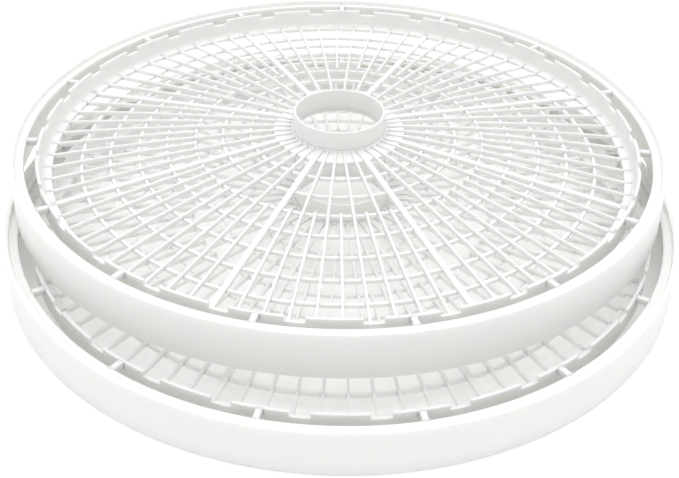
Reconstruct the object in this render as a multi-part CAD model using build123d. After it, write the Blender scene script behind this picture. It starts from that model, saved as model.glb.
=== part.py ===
from build123d import *
import os

# Two identical round drying trays for a food dehydrator, the upper one resting on the lower one
# and pushed back from it. Millimetres and degrees. Heights inside a tray are measured from its
# foot. Each tray is one white moulding; it is divided here where its own features meet.

# Where the two trays stand
OFFSET_X = 2.0             # how far the lower tray stands to the right of the upper one
OFFSET_Y = 32.0            # how far the upper tray is pushed back from the lower one
REST_GAP = 0.1             # clearance between the upper foot and the lower lip
LOWER_TURN = 0.5           # the lower tray is turned a little about its own axis

# Outer skirt and rim
TRAY_HEIGHT = 22.9         # from the foot to the top of the lip
LIP_RADIUS = 171.5         # outside of the lip
FOOT_RADIUS = 172.3        # outside of the foot; the difference is the mould's draft
LIP_WIDTH = 2.2
SKIRT_WALL = 2.2
LEDGE_DROP = 2.1           # the ledge lies this far below the lip
LEDGE_INNER = 164.8
LEDGE_THICK = 2.6
GROOVE_WIDTH = 2.1         # locating groove between the lip and the ledge
GROOVE_DEPTH = 0.5
EDGE_ROUND = 0.5

# Bridges across the air channel
BRIDGE_COUNT = 15
BRIDGE_WIDTH = 2.8
BRIDGE_THICK = 3.2

# Inner wall, its notches and the seat at its foot
WALL_OUTER = 159.1
WALL_INNER = 157.4
WALL_DEPTH = 14.5          # from the lip's top down to the wall's lower edge
NOTCH_COUNT = 30
NOTCH_WIDTH = 6.0
NOTCH_DEPTH = 2.7
SEAT_INNER = 152.2         # the grid's outermost ring, moulded to the wall's foot
SEAT_DROP = 12.3           # from the lip's top down to the seat's top

# Domed drying grid
RING_RADII = [47.6 + 14.9 * k for k in range(7)]
RING_WIDTH = 1.7
RING_THICK = 2.0
DOME = [(35.2, 2.7), (92.3, 7.0), (SEAT_INNER, 13.6)]   # radius and drop of the ring tops below the lip
RIB_RISE = 1.55            # a rib stands this far above the rings it crosses
RIB_HEIGHT = 2.4           # so the ribs lie on the rings, sunk a little into them
THIN_RIB = 1.3
THICK_RIB = 3.0
THICK_SAG = 1.0            # a thick rib is flatter, so its middle lies this far below the thin ones
PANEL_COUNT = 8            # one grid panel between each pair of thick ribs
RIB_STEP = 9.0             # angle between main ribs
HALF_RIB_START = RING_RADII[2]
THICK_RIB_ANGLE = 23.9     # where the first thick rib points, from +X

# Hub
HUB_OUTER = 24.4
HUB_INNER = 23.0
HUB_RISE = 9.2             # above the lip
HUB_DROP = 4.0             # below the lip
COLLAR_RADIUS = 26.1
COLLAR_DROP = 0.9
FLANGE_RADIUS = DOME[0][0]
FLANGE_DROP = 1.9
FLANGE_THICK = 2.0

LEDGE_Z = TRAY_HEIGHT - LEDGE_DROP
FLANGE_Z = TRAY_HEIGHT - FLANGE_DROP
COLLAR_Z = TRAY_HEIGHT - COLLAR_DROP
SEAT_Z = TRAY_HEIGHT - SEAT_DROP
WALL_Z = TRAY_HEIGHT - WALL_DEPTH
WALL_MIDDLE = (WALL_OUTER + WALL_INNER) / 2
PANEL_ANGLE = 360 / PANEL_COUNT


def turned(points):
    """A closed section of radius and height points, turned about the tray's axis."""
    return revolve(Plane.XZ * make_face(Polyline(*points, close=True)), Axis.Z)


def spread(shape, count, start=0.0):
    """Copies of a shape at equal angles about the tray's axis."""
    return [Rot(0, 0, start + 360 * k / count) * shape for k in range(count)]


def dome_arc(rise, sag=0.0):
    """The dome's line from the flange to the seat, raised by rise and less bowed by sag."""
    start, middle, end = [(r, TRAY_HEIGHT - drop + rise) for r, drop in DOME]
    return ThreePointArc(start, (middle[0], middle[1] - sag), end)


def ring_height(radius):
    """Height of the dome's line at a radius, by the circle through the dome's three points."""
    (r0, d0), (r1, d1), (r2, d2) = DOME
    slope = (d1 - d0) / (r1 - r0)
    bend = ((d2 - d0) / (r2 - r0) - slope) / (r2 - r1)
    return TRAY_HEIGHT - (d0 + slope * (radius - r0) + bend * (radius - r0) * (radius - r1))


def skirt():
    """Drafted outer skirt with the raised lip, the locating groove and the ledge."""
    lip_inner = LIP_RADIUS - LIP_WIDTH
    groove_inner = lip_inner - GROOVE_WIDTH
    groove_z = LEDGE_Z - GROOVE_DEPTH
    under_z = LEDGE_Z - LEDGE_THICK
    body = turned([
        (FOOT_RADIUS, 0), (LIP_RADIUS, TRAY_HEIGHT), (lip_inner, TRAY_HEIGHT),
        (lip_inner, groove_z), (groove_inner, groove_z), (groove_inner, LEDGE_Z),
        (LEDGE_INNER, LEDGE_Z), (LEDGE_INNER, under_z),
        (LIP_RADIUS - SKIRT_WALL, under_z), (FOOT_RADIUS - SKIRT_WALL, 0)])
    body = fillet(body.edges().group_by(Axis.Z)[-1], EDGE_ROUND)
    return fillet(body.edges().group_by(Axis.Z)[0], EDGE_ROUND)


def rim_bridges():
    """Flat bridges that carry the inner wall from the ledge across the air channel."""
    length = LEDGE_INNER - WALL_OUTER
    middle = (LEDGE_INNER + WALL_OUTER) / 2
    under_z = LEDGE_Z - BRIDGE_THICK
    channel = turned([
        (WALL_OUTER, under_z), (LEDGE_INNER, under_z), (LEDGE_INNER, LEDGE_Z), (WALL_OUTER, LEDGE_Z)])
    strip = Pos(middle, 0, LEDGE_Z - BRIDGE_THICK / 2) * Box(2 * length, BRIDGE_WIDTH, BRIDGE_THICK)
    return spread(channel & strip, BRIDGE_COUNT, 90)


def plain_wall():
    """Upright wall round the grid with the grid's seat at its foot, before it is notched."""
    return turned([
        (WALL_OUTER, WALL_Z), (WALL_OUTER, LEDGE_Z), (WALL_INNER, LEDGE_Z),
        (WALL_INNER, SEAT_Z), (SEAT_INNER, SEAT_Z), (SEAT_INNER, WALL_Z)])


def inner_wall():
    """The wall with the notches along its top edge."""
    through = 2 * (WALL_OUTER - WALL_INNER)
    notch = Pos(WALL_MIDDLE, 0, LEDGE_Z) * Box(through, NOTCH_WIDTH, 2 * NOTCH_DEPTH)
    half_step = 180 / NOTCH_COUNT
    return plain_wall() - spread(notch, NOTCH_COUNT, 90 + half_step)


def rib(width, start, sag=0.0):
    """An upright rib that follows the dome from a start radius to the inner wall."""
    top = dome_arc(RIB_RISE, sag)
    bottom = dome_arc(RIB_RISE - RIB_HEIGHT, sag)
    seat_top = top @ 1
    flange_top = top @ 0
    outline = [
        top,
        Polyline(seat_top, (WALL_MIDDLE, seat_top.Y), (WALL_MIDDLE, SEAT_Z), (SEAT_INNER, SEAT_Z), bottom @ 1),
        bottom,
        Polyline(bottom @ 0, (FLANGE_RADIUS, FLANGE_Z), (HUB_OUTER, FLANGE_Z),
                 (HUB_OUTER, COLLAR_Z), (COLLAR_RADIUS, COLLAR_Z),
                 flange_top)]
    blade = extrude(Plane.XZ * make_face(outline), amount=width / 2, both=True)
    if start > COLLAR_RADIUS:
        blade -= Pos(start / 2, 0, TRAY_HEIGHT / 2) * Box(start, 2 * width, 2 * TRAY_HEIGHT)
    return blade - plain_wall() - hub_flange()


def thick_ribs():
    """The double-width ribs that divide the grid into panels."""
    return spread(rib(THICK_RIB, COLLAR_RADIUS, THICK_SAG), PANEL_COUNT, THICK_RIB_ANGLE)


def panel_space():
    """The wedge of space between two neighbouring thick ribs, the first one along +X."""
    reach = 1.2 * WALL_OUTER
    wedge = make_face(Polyline(
        (0, 0), (reach, 0), (reach, reach), (0, 0), close=False))
    prism = extrude(wedge, TRAY_HEIGHT)
    first = Pos(reach / 2, 0, 0) * Box(2 * reach, THICK_RIB, 3 * TRAY_HEIGHT)
    return prism - first - Rot(0, 0, PANEL_ANGLE) * first


def grid_panel():
    """Ring segments, thin ribs and half ribs between two thick ribs, as one lattice."""
    space = panel_space()
    lattice = None
    for radius in RING_RADII:
        inner, outer = radius - RING_WIDTH / 2, radius + RING_WIDTH / 2
        top = ring_height(radius)
        ring = turned([(inner, top - RING_THICK), (outer, top - RING_THICK), (outer, top), (inner, top)])
        segment = ring & space
        lattice = segment if lattice is None else lattice + segment
    thin = rib(THIN_RIB, COLLAR_RADIUS)
    half = rib(THIN_RIB, HALF_RIB_START)
    steps = round(PANEL_ANGLE / RIB_STEP)
    ribs = [Rot(0, 0, RIB_STEP * k) * thin for k in range(1, steps)]
    ribs += [Rot(0, 0, RIB_STEP * (k + 0.5)) * half for k in range(steps)]
    return lattice + ribs


def hub_flange():
    """Flat disc round the hub that the grid springs from, with a low collar against the hub."""
    under = FLANGE_Z - FLANGE_THICK
    return turned([
        (HUB_OUTER, under), (FLANGE_RADIUS, under), (FLANGE_RADIUS, FLANGE_Z),
        (COLLAR_RADIUS, FLANGE_Z), (COLLAR_RADIUS, COLLAR_Z), (HUB_OUTER, COLLAR_Z)])


def hub():
    """Open tube that warm air rises through, standing above the lip."""
    top, bottom = TRAY_HEIGHT + HUB_RISE, TRAY_HEIGHT - HUB_DROP
    return turned([(HUB_INNER, bottom), (HUB_OUTER, bottom), (HUB_OUTER, top), (HUB_INNER, top)])


def tray():
    """Every node of one tray, standing on its foot on the axis."""
    nodes = {
        "skirt": [skirt()],
        "rim_bridges": rim_bridges(),
        "inner_wall": [inner_wall()],
        "thick_ribs": thick_ribs(),
        "hub_flange": [hub_flange()],
        "hub": [hub()]}
    panel = grid_panel()
    for k, copy in enumerate(spread(panel, PANEL_COUNT, THICK_RIB_ANGLE)):
        nodes[f"grid_panel_{k + 1}"] = [copy]
    return nodes


def write(prefix, nodes, place):
    """One STEP file for each node of a tray, at the tray's place."""
    for name, shapes in nodes.items():
        solids = [solid for shape in shapes for solid in (place * shape).solids()]
        export_step(Compound(children=solids), f"parts/{prefix}_{name}.step")


os.makedirs("parts", exist_ok=True)
TRAY = tray()
write("lower", TRAY, Pos(OFFSET_X / 2, -OFFSET_Y / 2, 0) * Rot(0, 0, LOWER_TURN))
write("upper", TRAY, Pos(-OFFSET_X / 2, OFFSET_Y / 2, TRAY_HEIGHT + REST_GAP))
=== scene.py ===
import math

import bpy
from mathutils import Matrix, Vector


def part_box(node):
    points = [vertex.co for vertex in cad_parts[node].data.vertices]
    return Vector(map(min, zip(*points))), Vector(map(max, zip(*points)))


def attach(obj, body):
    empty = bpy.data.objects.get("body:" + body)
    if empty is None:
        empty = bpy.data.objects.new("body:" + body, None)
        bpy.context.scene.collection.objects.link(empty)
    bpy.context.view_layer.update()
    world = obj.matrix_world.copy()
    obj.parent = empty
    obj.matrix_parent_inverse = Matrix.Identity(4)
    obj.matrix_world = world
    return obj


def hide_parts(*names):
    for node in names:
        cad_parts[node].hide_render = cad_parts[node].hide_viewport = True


# Two round drying trays of a food dehydrator, the upper one resting on the lower one and pushed
# back from it. One tray is modelled about its own axis, standing on its foot, and each of its
# pieces is then copied to where the frame has the two trays. Lengths here are in millimetres.

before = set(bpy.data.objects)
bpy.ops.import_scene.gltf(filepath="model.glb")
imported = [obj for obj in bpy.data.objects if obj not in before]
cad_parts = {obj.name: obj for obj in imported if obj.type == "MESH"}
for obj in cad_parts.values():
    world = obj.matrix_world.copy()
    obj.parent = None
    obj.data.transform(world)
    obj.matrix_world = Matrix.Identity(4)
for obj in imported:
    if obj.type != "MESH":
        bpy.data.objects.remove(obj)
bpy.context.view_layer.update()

MM = 0.001

# ---------------------------------------------------------------- the tray's own sizes
STEPS = 330                # edges round every turned piece, eleven to each notch of the wall

TRAY_HEIGHT = 22.9
LIP_RADIUS = 171.5
FOOT_RADIUS = 172.3
LIP_WIDTH = 2.2
SKIRT_WALL = 2.2
LEDGE_Z = TRAY_HEIGHT - 2.1
LEDGE_INNER = 164.8
LEDGE_THICK = 2.6
GROOVE_WIDTH = 2.1
GROOVE_DEPTH = 0.5

BRIDGES = 15
BRIDGE_WIDTH = 2.8
BRIDGE_FLARE = 1.6         # extra width where a bridge meets the ledge and the wall
BRIDGE_THICK = 3.2

WALL_OUTER = 159.1
WALL_INNER = 157.4
WALL_Z = TRAY_HEIGHT - 14.5
NOTCHES = 30
NOTCH_DEPTH = 2.7
SEAT_INNER = 152.2
SEAT_Z = TRAY_HEIGHT - 12.3
COVE = 2.4                 # radius of the cove between the wall and its seat

RINGS = [47.6 + 14.9 * k for k in range(7)]
RING_WIDTH = 1.7
RING_THICK = 2.0
# Radius and drop below the lip of the ring tops at the dome's edge, middle and foot
DOME = [(35.2, 2.7), (92.3, 7.0), (SEAT_INNER, 13.6)]
RIB_RISE = 1.55            # a rib stands this far above the rings it crosses
RIB_HEIGHT = 2.4
RIB_SPANS = 8              # straight lengths that a rib's curve is drawn in
THIN_RIB = 1.3
THICK_RIB = 3.0
THICK_SAG = 1.0            # how far the middle of a thick rib lies below the thin ones
THICK_RIBS = 8
RIB_STEP = 9.0             # degrees between ribs, every fifth of them a thick one
RIBS_TO_THICK = 5
THICK_RIB_ANGLE = 23.9

HUB_OUTER = 24.4
HUB_INNER = 23.0
HUB_RISE = 9.2
HUB_DROP = 4.0
COLLAR_RADIUS = 26.1
COLLAR_Z = TRAY_HEIGHT - 0.9
FLANGE_RADIUS = DOME[0][0]
FLANGE_Z = TRAY_HEIGHT - 1.9
FLANGE_THICK = 2.0

SINK = 0.3                 # how far a piece runs into its neighbour, so that no gap shows
FIRM_EDGE = 0.45           # rounding of the rim and the hub
FINE_EDGE = 0.3            # rounding of ribs, rings, bridges and the wall

# Where the frame has each tray, and how far it is turned about its own axis in degrees
TRAYS = {"upper": 0.0, "lower": 0.5}

# The camera: its place from the middle of the upper tray's lip, its tilt and roll in degrees
STANDPOINT = (1.4, -486.3, 274.1)
LOOK_DOWN = 35.69
ROLL = 1.14
LENS = 54.72


# ---------------------------------------------------------------- modelling
def only(piece):
    """Selects one object and makes it active."""
    bpy.ops.object.select_all(action="DESELECT")
    piece.select_set(True)
    bpy.context.view_layer.objects.active = piece


def settle(piece):
    """Puts a piece's place, turn and scale into its mesh."""
    only(piece)
    bpy.ops.object.transform_apply(location=True, rotation=True, scale=True)


def close_up(piece):
    """Merges the last loop with the first and turns every face outwards."""
    only(piece)
    bpy.ops.object.mode_set(mode="EDIT")
    bpy.ops.mesh.select_all(action="SELECT")
    bpy.ops.mesh.remove_doubles(threshold=0.01 * MM)
    bpy.ops.mesh.normals_make_consistent(inside=False)
    bpy.ops.object.mode_set(mode="OBJECT")


def soften(piece, width, segments=2, sharp=35):
    """Rounds the moulded edges and smooths the shading between them."""
    only(piece)
    edge = piece.modifiers.new("edge", "BEVEL")
    edge.width = width * MM
    edge.segments = segments
    edge.limit_method = "ANGLE"
    edge.angle_limit = math.radians(sharp)
    bpy.ops.object.modifier_apply(modifier=edge.name)
    bpy.ops.object.shade_smooth_by_angle(angle=math.radians(sharp))


def turned(name, section, turn=0.0):
    """A closed section of radius and height points, drawn round the axis loop by loop."""
    radius, height = section[0]
    bpy.ops.mesh.primitive_circle_add(
        vertices=STEPS, radius=radius * MM, location=(0, 0, height * MM),
        rotation=(0, 0, math.radians(turn)))
    piece = bpy.context.object
    piece.name = name
    settle(piece)
    bpy.ops.object.mode_set(mode="EDIT")
    bpy.ops.mesh.select_all(action="SELECT")
    for next_radius, next_height in section[1:] + section[:1]:
        bpy.ops.mesh.extrude_region_move(
            TRANSFORM_OT_translate={"value": (0, 0, (next_height - height) * MM)})
        share = next_radius / radius
        bpy.ops.transform.resize(value=(share, share, 1), center_override=(0, 0, 0))
        radius, height = next_radius, next_height
    bpy.ops.object.mode_set(mode="OBJECT")
    close_up(piece)
    return piece


def beam(name, stations):
    """A bar drawn outwards from station to station: distance, underside, top and width."""
    reach, under, top, width = stations[0]
    bpy.ops.mesh.primitive_plane_add(
        size=1, location=(reach * MM, 0, (under + top) / 2 * MM), rotation=(0, math.pi / 2, 0))
    piece = bpy.context.object
    piece.name = name
    piece.scale = ((top - under) * MM, width * MM, 1)
    settle(piece)
    bpy.ops.object.mode_set(mode="EDIT")
    bpy.ops.mesh.select_all(action="SELECT")
    for next_reach, next_under, next_top, next_width in stations[1:]:
        rise = (next_under + next_top - under - top) / 2
        bpy.ops.mesh.extrude_region_move(
            TRANSFORM_OT_translate={"value": ((next_reach - reach) * MM, 0, rise * MM)})
        taller = (next_top - next_under) / (top - under)
        middle = (next_reach * MM, 0, (next_under + next_top) / 2 * MM)
        bpy.ops.transform.resize(
            value=(1, next_width / width, taller), center_override=middle)
        reach, under, top, width = next_reach, next_under, next_top, next_width
    bpy.ops.object.mode_set(mode="OBJECT")
    close_up(piece)
    return piece


def spread(name, master, angles):
    """Copies of a master turned to each angle about the axis, joined as one piece."""
    copies = []
    for angle in angles:
        copy = master.copy()
        copy.data = master.data.copy()
        bpy.context.collection.objects.link(copy)
        copy.matrix_world = Matrix.Rotation(math.radians(angle), 4, "Z")
        settle(copy)
        copies.append(copy)
    bpy.data.objects.remove(master)
    return joined(name, copies)


def joined(name, parts):
    """Several objects made one piece."""
    bpy.ops.object.select_all(action="DESELECT")
    for part in parts:
        part.select_set(True)
    bpy.context.view_layer.objects.active = parts[0]
    bpy.ops.object.join()
    parts[0].name = name
    return parts[0]


# ---------------------------------------------------------------- the pieces of one tray
def dome_z(radius, sag=0.0):
    """Height of the ring tops at a radius, by the curve through the dome's three points."""
    (r0, d0), (r1, d1), (r2, d2) = DOME
    slope = (d1 + sag - d0) / (r1 - r0)
    bend = ((d2 - d0) / (r2 - r0) - slope) / (r2 - r1)
    return TRAY_HEIGHT - (d0 + slope * (radius - r0) + bend * (radius - r0) * (radius - r1))


def make_skirt():
    """Drafted skirt with the raised lip, the locating groove and the ledge."""
    lip_inner = LIP_RADIUS - LIP_WIDTH
    groove_inner = lip_inner - GROOVE_WIDTH
    groove_z = LEDGE_Z - GROOVE_DEPTH
    under_z = LEDGE_Z - LEDGE_THICK
    skirt = turned("skirt", [
        (FOOT_RADIUS, 0), (LIP_RADIUS, TRAY_HEIGHT), (lip_inner, TRAY_HEIGHT),
        (lip_inner, groove_z), (groove_inner, groove_z), (groove_inner, LEDGE_Z),
        (LEDGE_INNER, LEDGE_Z), (LEDGE_INNER, under_z),
        (LIP_RADIUS - SKIRT_WALL, under_z), (FOOT_RADIUS - SKIRT_WALL, 0)])
    soften(skirt, FIRM_EDGE, segments=3)
    return skirt


def make_bridges():
    """Flat bridges across the air channel, flared where they meet the ledge and the wall."""
    under, wide = LEDGE_Z - BRIDGE_THICK, BRIDGE_WIDTH + BRIDGE_FLARE
    middle = (WALL_OUTER + LEDGE_INNER) / 2
    half = (LEDGE_INNER - WALL_OUTER) / 2 + 0.2
    shares = [(-1, wide), (-0.8, BRIDGE_WIDTH + 0.4), (-0.55, BRIDGE_WIDTH),
              (0.55, BRIDGE_WIDTH), (0.8, BRIDGE_WIDTH + 0.4), (1, wide)]
    bridge = beam("bridge", [(middle + half * s, under, LEDGE_Z, w) for s, w in shares])
    soften(bridge, FINE_EDGE)
    return spread("bridges", bridge, [90 + 360 * k / BRIDGES for k in range(BRIDGES)])


def make_inner_wall():
    """Upright wall with its seat; the stretches between the notches are drawn up to the ledge."""
    notch_z = LEDGE_Z - NOTCH_DEPTH
    first_notch = 90 + 180 / NOTCHES
    arc = [math.radians(a) for a in (0, 22.5, 45, 67.5, 90)]
    cove = [(WALL_INNER - COVE * (1 - math.cos(a)), SEAT_Z + COVE * (1 - math.sin(a))) for a in arc]
    wall = turned("inner_wall", [
        (WALL_OUTER, WALL_Z), (WALL_OUTER, notch_z), (WALL_INNER, notch_z), *cove,
        (SEAT_INNER, SEAT_Z), (SEAT_INNER, WALL_Z)], first_notch)
    only(wall)
    bpy.ops.object.mode_set(mode="EDIT")
    bpy.ops.mesh.select_mode(type="FACE")
    bpy.ops.mesh.select_all(action="DESELECT")
    bpy.ops.object.mode_set(mode="OBJECT")
    for face in wall.data.polygons:
        x, y, z = face.center
        from_notch = (math.degrees(math.atan2(y, x)) - first_notch) % (360 / NOTCHES)
        clear = 1.1 * 360 / STEPS
        between = clear < from_notch < 360 / NOTCHES - clear
        face.select = abs(z - notch_z * MM) < 0.01 * MM and between
    bpy.ops.object.mode_set(mode="EDIT")
    bpy.ops.mesh.extrude_region_move(
        TRANSFORM_OT_translate={"value": (0, 0, NOTCH_DEPTH * MM)})
    bpy.ops.mesh.select_mode(type="VERT")
    bpy.ops.object.mode_set(mode="OBJECT")
    soften(wall, FINE_EDGE)
    return wall


def rib_stations(start, width, sag):
    """Stations of a rib from a start radius to the inner wall, over the flange and the seat."""
    stations = []
    if start < FLANGE_RADIUS:
        stations.append((start, FLANGE_Z - SINK, COLLAR_Z, width))
        start = FLANGE_RADIUS
    for k in range(RIB_SPANS + 1):
        reach = start + (SEAT_INNER - start) * k / RIB_SPANS
        top = dome_z(reach, sag) + RIB_RISE
        stations.append((reach, top - RIB_HEIGHT, top, width))
    tip = stations[-1][2]
    stations.append((SEAT_INNER + 0.1, SEAT_Z - SINK, tip, width))
    stations.append((WALL_INNER - 1.0, SEAT_Z - SINK, tip, width))
    stations.append((WALL_INNER + 0.4, SEAT_Z - SINK, tip + 0.5, width))
    return stations


def make_ribs(name, start, width, angles, sag=0.0):
    """One kind of rib at all its angles."""
    rib = beam("rib", rib_stations(start, width, sag))
    soften(rib, FINE_EDGE)
    return spread(name, rib, [THICK_RIB_ANGLE + a for a in angles])


def make_rings():
    """The grid's rings, each a flat band."""
    rings = []
    for radius in RINGS:
        inner, outer = radius - RING_WIDTH / 2, radius + RING_WIDTH / 2
        top = dome_z(radius)
        under = top - RING_THICK
        ring = turned("ring", [(inner, under), (outer, under), (outer, top), (inner, top)])
        soften(ring, FINE_EDGE)
        rings.append(ring)
    return joined("rings", rings)


def make_hub():
    """Open tube in the middle."""
    top, bottom = TRAY_HEIGHT + HUB_RISE, TRAY_HEIGHT - HUB_DROP
    hub = turned("hub", [
        (HUB_INNER, bottom), (HUB_OUTER, bottom), (HUB_OUTER, top), (HUB_INNER, top)])
    soften(hub, FIRM_EDGE, segments=3)
    return hub


def make_flange():
    """Flat disc round the hub with a low collar against it."""
    under = FLANGE_Z - FLANGE_THICK
    seam = HUB_OUTER - SINK
    flange = turned("hub_flange", [
        (seam, under), (FLANGE_RADIUS, under), (FLANGE_RADIUS, FLANGE_Z),
        (COLLAR_RADIUS, FLANGE_Z), (COLLAR_RADIUS, COLLAR_Z), (seam, COLLAR_Z)])
    soften(flange, 0.4)
    return flange


def make_tray():
    """Every piece of one tray, with the CAD nodes that it stands for."""
    panels = [f"grid_panel_{k + 1}" for k in range(THICK_RIBS)]
    count = THICK_RIBS * RIBS_TO_THICK
    thick = [RIB_STEP * k for k in range(0, count, RIBS_TO_THICK)]
    thin = [RIB_STEP * k for k in range(count) if k % RIBS_TO_THICK]
    half = [RIB_STEP * (k + 0.5) for k in range(count)]
    root = COLLAR_RADIUS - SINK
    return {
        "skirt": (make_skirt(), ["skirt"]),
        "bridges": (make_bridges(), ["rim_bridges"]),
        "inner_wall": (make_inner_wall(), ["inner_wall"]),
        "thick_ribs": (
            make_ribs("thick_ribs", root, THICK_RIB, thick, THICK_SAG), ["thick_ribs"]),
        "thin_ribs": (make_ribs("thin_ribs", root, THIN_RIB, thin), panels),
        "half_ribs": (make_ribs("half_ribs", RINGS[2], THIN_RIB, half), panels),
        "rings": (make_rings(), panels),
        "hub_flange": (make_flange(), ["hub_flange"]),
        "hub": (make_hub(), ["hub"])}


# ---------------------------------------------------------------- materials
def linear(colour):
    """An sRGB hex colour as linear red, green, blue and alpha."""
    parts = [int(colour[k:k + 2], 16) / 255 for k in (1, 3, 5)]
    return [c / 12.92 if c <= 0.04045 else ((c + 0.055) / 1.055) ** 2.4 for c in parts] + [1.0]


def add_node(tree, kind, links=None, **settings):
    """Adds a node, sets its properties or input values, and links its inputs."""
    node = tree.nodes.new(kind)
    for key, value in settings.items():
        if hasattr(node, key):
            setattr(node, key, value)
        else:
            node.inputs[key.replace("_", " ").capitalize()].default_value = value
    for key, source in (links or {}).items():
        tree.links.new(source, node.inputs[key])
    return node


def moulded_white_polystyrene():
    """Injection-moulded white polystyrene, satin where the mould was polished."""
    material = bpy.data.materials.new("moulded_white_polystyrene")
    material.use_nodes = True
    tree = material.node_tree
    tree.nodes.clear()
    place = add_node(tree, "ShaderNodeTexCoord").outputs["Object"]
    # the mould's fine finish, 0.8 mm between grains: finer would not show
    grain = add_node(tree, "ShaderNodeTexNoise", {"Vector": place}, Scale=1 / (0.8 * MM), Detail=3.0)
    # slow waves left as the plastic shrinks, about 35 mm long
    waves = add_node(tree, "ShaderNodeTexNoise", {"Vector": place}, Scale=1 / (35 * MM), Detail=2.0)
    tint = add_node(tree, "ShaderNodeValToRGB", {"Fac": waves.outputs["Fac"]})
    tint.color_ramp.elements[0].color = linear("#F7F8F4")
    tint.color_ramp.elements[1].color = linear("#FBFBF8")
    sheen = add_node(tree, "ShaderNodeMapRange", {"Value": grain.outputs["Fac"]})
    sheen.inputs["To Min"].default_value = 0.32
    sheen.inputs["To Max"].default_value = 0.44
    fine = add_node(tree, "ShaderNodeBump", {"Height": grain.outputs["Fac"]})
    fine.inputs["Strength"].default_value = 0.25
    fine.inputs["Distance"].default_value = 0.02 * MM
    slow = add_node(tree, "ShaderNodeBump", {
        "Height": waves.outputs["Fac"], "Normal": fine.outputs["Normal"]})
    slow.inputs["Strength"].default_value = 0.6
    slow.inputs["Distance"].default_value = 0.4 * MM
    shader = add_node(tree, "ShaderNodeBsdfPrincipled", {
        "Base Color": tint.outputs["Color"], "Roughness": sheen.outputs["Result"],
        "Normal": slow.outputs["Normal"]})
    shader.inputs["IOR"].default_value = 1.57
    shader.inputs["Subsurface Weight"].default_value = 1.0
    shader.inputs["Subsurface Radius"].default_value = (1.0, 0.95, 0.85)
    shader.inputs["Subsurface Scale"].default_value = 1.6 * MM
    add_node(tree, "ShaderNodeOutputMaterial", {"Surface": shader.outputs["BSDF"]})
    return material


def pale_card():
    """Matt white card that the trays stand on."""
    material = bpy.data.materials.new("pale_card")
    material.use_nodes = True
    shader = material.node_tree.nodes["Principled BSDF"]
    shader.inputs["Base Color"].default_value = linear("#FFFFFF")
    shader.inputs["Roughness"].default_value = 0.9
    shader.inputs["Specular IOR Level"].default_value = 0.1
    shader.inputs["Emission Color"].default_value = linear("#FFFFFF")
    shader.inputs["Emission Strength"].default_value = 0.11
    return material


# ---------------------------------------------------------------- the object
def place_tray(tray, masters, finish):
    """Copies every master piece to where the frame has a tray, and hands it to its body."""
    low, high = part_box(f"{tray}_skirt")
    where = Matrix.Translation(((low.x + high.x) / 2, (low.y + high.y) / 2, low.z))
    turn = Matrix.Rotation(math.radians(TRAYS[tray]), 4, "Z")
    for name, (master, nodes) in masters.items():
        piece = master.copy()
        piece.data = master.data.copy()
        piece.name = f"{tray}_tray_{name}"
        bpy.context.collection.objects.link(piece)
        piece.matrix_world = where @ turn
        settle(piece)
        piece.data.materials.clear()
        piece.data.materials.append(finish)
        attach(piece, f"{tray}_tray")
        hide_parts(*[f"{tray}_{node}" for node in nodes])


def build():
    """Models one tray and places it twice."""
    masters = make_tray()
    finish = moulded_white_polystyrene()
    for tray in TRAYS:
        place_tray(tray, masters, finish)
    for master, _ in masters.values():
        bpy.data.objects.remove(master)


# ---------------------------------------------------------------- camera, light and floor
def make_camera():
    """Looks down on the front of the stack, a little rolled."""
    low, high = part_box("upper_skirt")
    tray_x, tray_y, lip_z = (low.x + high.x) / 2, (low.y + high.y) / 2, high.z
    right, back, up = STANDPOINT
    camera = bpy.data.objects.new("camera", bpy.data.cameras.new("camera"))
    bpy.context.collection.objects.link(camera)
    camera.data.lens = LENS
    camera.data.clip_start = 0.01
    camera.matrix_world = (
        Matrix.Translation((tray_x + right * MM, tray_y + back * MM, lip_z + up * MM))
        @ Matrix.Rotation(math.radians(90 - LOOK_DOWN), 4, "X")
        @ Matrix.Rotation(math.radians(ROLL), 4, "Z"))
    bpy.context.scene.camera = camera


def soft_box(name, place, target, size, power):
    """A large square light aimed at a point."""
    light = bpy.data.lights.new(name, "AREA")
    light.size = size
    light.energy = power
    lamp = bpy.data.objects.new(name, light)
    bpy.context.collection.objects.link(lamp)
    lamp.location = place
    lamp.rotation_euler = (Vector(target) - Vector(place)).to_track_quat("-Z", "Y").to_euler()


def make_studio():
    """White tent light from all round, a soft box overhead and a pale floor."""
    world = bpy.data.worlds.new("tent")
    bpy.context.scene.world = world
    world.use_nodes = True
    world.node_tree.nodes["Background"].inputs["Color"].default_value = linear("#FFFFFF")
    world.node_tree.nodes["Background"].inputs["Strength"].default_value = 0.6
    soft_box("overhead", (0, 0.25, 1.7), (0, 0, 0), 2.6, 27)
    bpy.ops.mesh.primitive_plane_add(size=8, location=(0, 0, -0.05 * MM))
    floor = bpy.context.object
    floor.name = "floor"
    floor.data.materials.append(pale_card())
    bpy.context.scene.view_settings.view_transform = "Standard"


make_camera()
build()
make_studio()
